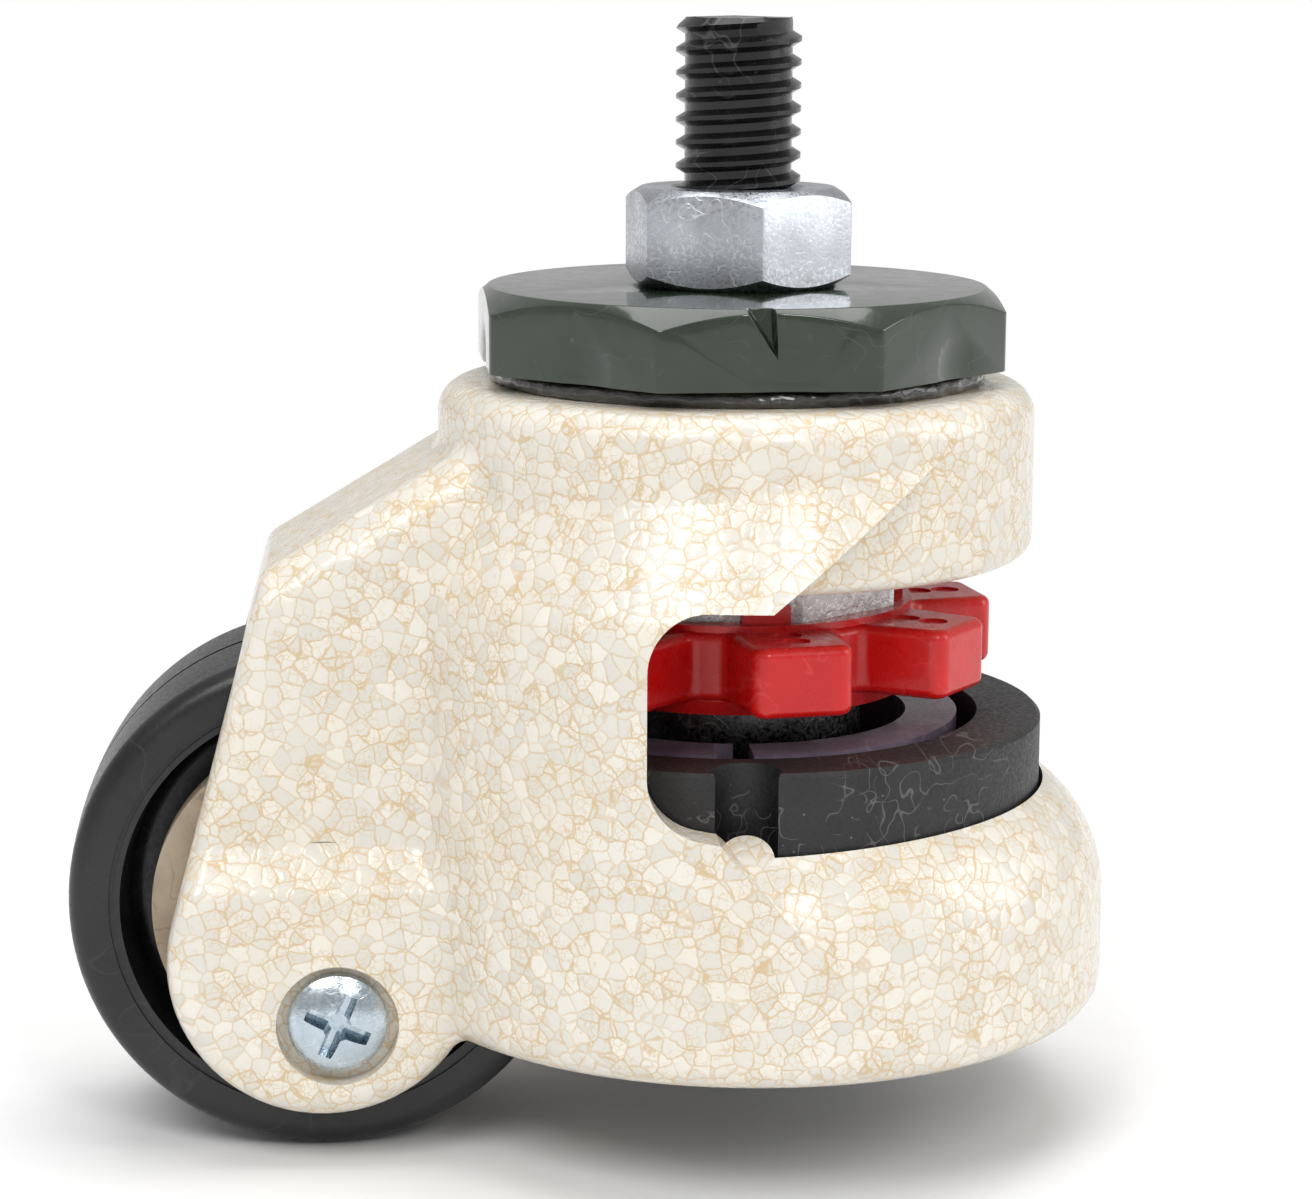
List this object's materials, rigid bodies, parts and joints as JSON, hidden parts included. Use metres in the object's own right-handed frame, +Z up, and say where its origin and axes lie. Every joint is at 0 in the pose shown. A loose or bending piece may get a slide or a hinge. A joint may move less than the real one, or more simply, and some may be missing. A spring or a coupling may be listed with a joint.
{
  "type": "levelling castor",
  "caption": "Swivel castor on a threaded stem with an octagonal cap, a small wheel under a raked fork, and a flat rubber pad that a lobed thumbwheel winds down to lift the wheel",
  "frame": {"origin": "On the stem's axis in the mounting face, which is the top of the octagonal swivel cap where the lock nut seats", "axes": "+Z up along the stem, -X towards the trailing wheel, +X towards the open front of the thumbwheel window, Y across the castor along the wheel's axle"},
  "size_m": [0.1015, 0.0704, 0.108],
  "materials": {
    "housing_enamel": "glossy cream hammered enamel with fine ochre veins",
    "stem_black": "black oxide, oiled and glossy",
    "nut_zinc": "bright zinc with scratches",
    "cap_enamel": "dark green gloss enamel, dented",
    "seal_rubber": "black rubber wet with grease",
    "ball_steel": "polished balls in grease",
    "race_steel": "hardened race, ground",
    "wheel_nylon": "black nylon, satin, lightly worn",
    "bearing_steel": "ground steel",
    "axle_steel": "turned steel",
    "washer_steel": "plain zinc",
    "carrier_plastic": "beige moulded plastic",
    "screw_zinc": "bright blue zinc",
    "thumbwheel_plastic": "glossy red moulding",
    "insert_zinc": "grainy white zinc",
    "pad_rubber": "black rubber with fine pale specks",
    "plate_steel": "lilac-grey coated steel",
    "tube_steel": "dark greased steel"
  },
  "bodies": {
    "stem_group": {"threaded_stem": "stem_black", "swivel_cap": "cap_enamel", "lower_race": "race_steel", "kingpin_nut": "race_steel"},
    "nut_body": {"lock_nut": "nut_zinc"},
    "upper_ball_set": {"upper_balls": "ball_steel"},
    "lower_ball_set": {"lower_balls": "ball_steel"},
    "housing_group": {"housing": "housing_enamel", "race_seal": "seal_rubber", "thrust_washer": "washer_steel", "snap_ring": "washer_steel", "axle": "axle_steel", "carrier_left": "carrier_plastic", "carrier_right": "carrier_plastic", "screw_left": "screw_zinc", "screw_right": "screw_zinc", "axle_washer_left": "washer_steel", "axle_washer_right": "washer_steel", "bearing_inner_left": "bearing_steel", "bearing_inner_right": "bearing_steel"},
    "wheel_group": {"wheel": "wheel_nylon", "bearing_outer_left": "bearing_steel", "bearing_outer_right": "bearing_steel"},
    "bearing_ball_set": {"bearing_balls": "ball_steel"},
    "adjuster_group": {"thumbwheel": "thumbwheel_plastic", "adjuster_nut": "insert_zinc"},
    "foot_group": {"foot_pad": "pad_rubber", "foot_plate": "plate_steel", "lifting_tube": "tube_steel"}
  },
  "joints": [
    {"name": "nut_slide", "type": "slide", "parent": "stem_group", "child": "nut_body", "axis": [0, 0, 1], "range_m": [0, 0.014]},
    {"name": "swivel", "type": "hinge", "parent": "stem_group", "child": "housing_group", "pos_m": [0, 0, 0], "axis": [0, 0, 1], "continuous": true},
    {"name": "upper_ball_roll", "type": "hinge", "parent": "stem_group", "child": "upper_ball_set", "pos_m": [0, 0, 0], "axis": [0, 0, 1], "continuous": true},
    {"name": "lower_ball_roll", "type": "hinge", "parent": "stem_group", "child": "lower_ball_set", "pos_m": [0, 0, 0], "axis": [0, 0, 1], "continuous": true},
    {"name": "wheel_spin", "type": "hinge", "parent": "housing_group", "child": "wheel_group", "pos_m": [-0.0402, 0, -0.058], "axis": [0, 1, 0], "continuous": true},
    {"name": "bearing_ball_roll", "type": "hinge", "parent": "housing_group", "child": "bearing_ball_set", "pos_m": [-0.0402, 0, -0.058], "axis": [0, 1, 0], "continuous": true},
    {"name": "thumbwheel_turn", "type": "hinge", "parent": "housing_group", "child": "adjuster_group", "pos_m": [0, 0, 0], "axis": [0, 0, 1], "range_deg": [0, 2700]},
    {"name": "foot_slide", "type": "slide", "parent": "housing_group", "child": "foot_group", "axis": [0, 0, -1], "range_m": [0, 0.015]}
  ],
  "couplings": [
    {"joint": "upper_ball_roll", "follows": "swivel", "ratio": 0.5},
    {"joint": "lower_ball_roll", "follows": "swivel", "ratio": 0.5},
    {"joint": "bearing_ball_roll", "follows": "wheel_spin", "ratio": 0.6281},
    {"joint": "thumbwheel_turn", "follows": "foot_slide", "rad_per_m": 3141.6}
  ]
}
